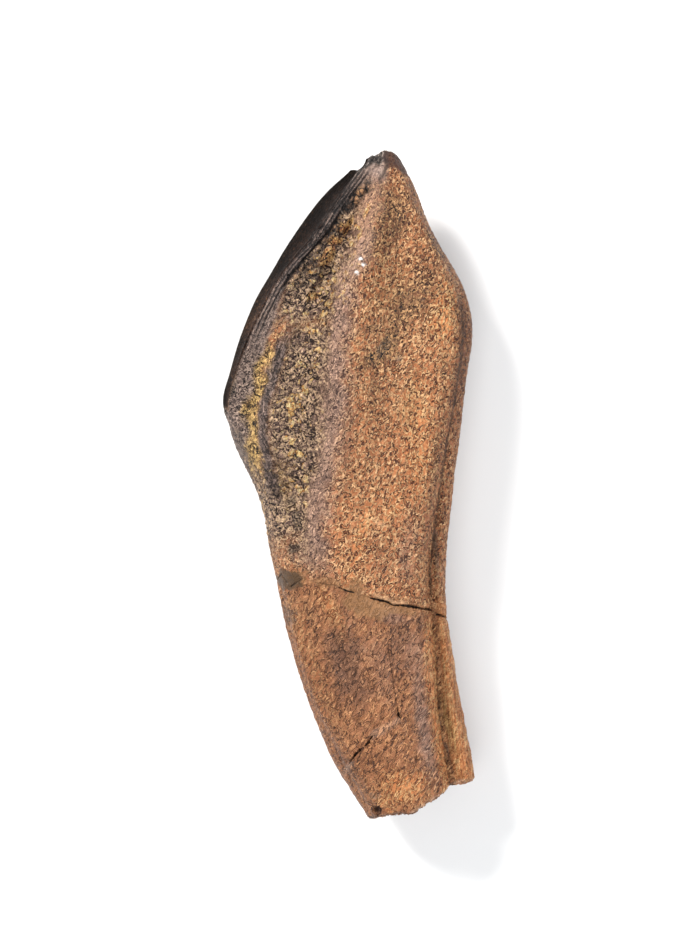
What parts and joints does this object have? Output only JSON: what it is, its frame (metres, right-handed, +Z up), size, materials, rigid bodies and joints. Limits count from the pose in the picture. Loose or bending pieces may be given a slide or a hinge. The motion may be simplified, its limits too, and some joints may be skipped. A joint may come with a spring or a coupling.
{
  "type": "fossil hadrosaur tooth",
  "caption": "A fossil plant-eater's tooth with its root, leaf-shaped crown with an enamelled ridged face, broken root end, lying on its side.",
  "frame": {"origin": "on the surface the tooth lies on, under the middle of its box", "axes": "+Y from the broken root end to the worn tip, -X the enamelled tongue side, +X the cheek side, +Z up from the surface"},
  "size_m": [0.019, 0.05, 0.0099],
  "materials": {
    "fossil_dentine": "matt grainy orange-brown dentine, with a satin dark brown enamelled face"
  },
  "bodies": {
    "root": {"hadrosaur_tooth": "fossil_dentine"}
  },
  "joints": []
}
